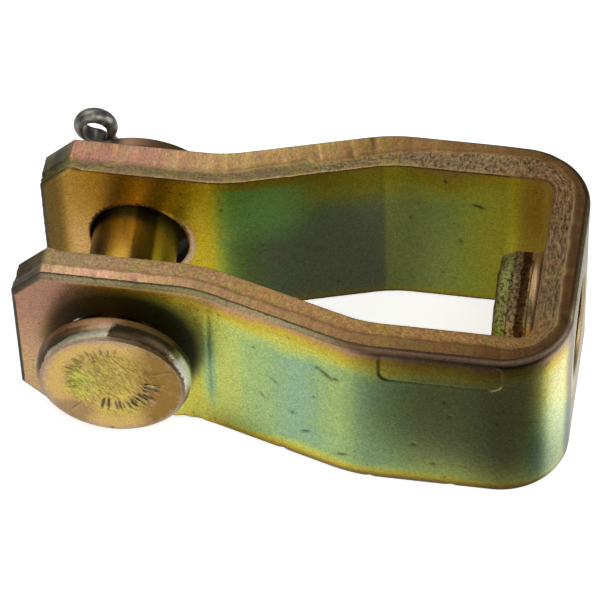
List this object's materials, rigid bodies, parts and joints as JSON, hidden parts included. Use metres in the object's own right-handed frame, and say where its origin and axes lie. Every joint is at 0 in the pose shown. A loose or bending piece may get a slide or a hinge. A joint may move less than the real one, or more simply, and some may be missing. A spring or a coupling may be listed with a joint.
{
  "type": "clevis rod end",
  "caption": "Clevis rod end bent from flat steel strip: two ears with a headed pin, washer and split pin, and a threaded collar drawn into the base.",
  "frame": {"origin": "on the ear holes' axis, midway between the ears", "axes": "+X from the ears to the threaded base, +Y from the pin's head to its split pin, +Z across the strip's width, up as the yoke stands on its edge"},
  "size_m": [0.0877, 0.0473, 0.0328],
  "materials": {
    "yoke_plating": "yellow chromated zinc plate, iridescent, worn at the edges",
    "pin_plating": "yellow chromated zinc plate on a forged head",
    "split_pin_steel": "dull zinc plated wire",
    "washer_plating": "yellow chromated zinc plate, dull"
  },
  "bodies": {
    "yoke": {"clevis": "yoke_plating"},
    "pin": {"clevis_pin": "pin_plating", "split_pin": "split_pin_steel"},
    "washer": {"washer": "washer_plating"}
  },
  "joints": [
    {"name": "pin_spin", "type": "hinge", "parent": "yoke", "child": "pin", "pos_m": [-0.0002, 0, -0.0005], "axis": [-0.0594, 0.9982, 0], "continuous": true},
    {"name": "washer_spin", "type": "hinge", "parent": "pin", "child": "washer", "pos_m": [-0.00117, 0.01625, -0.00095], "axis": [-0.0594, 0.9982, 0], "continuous": true}
  ]
}
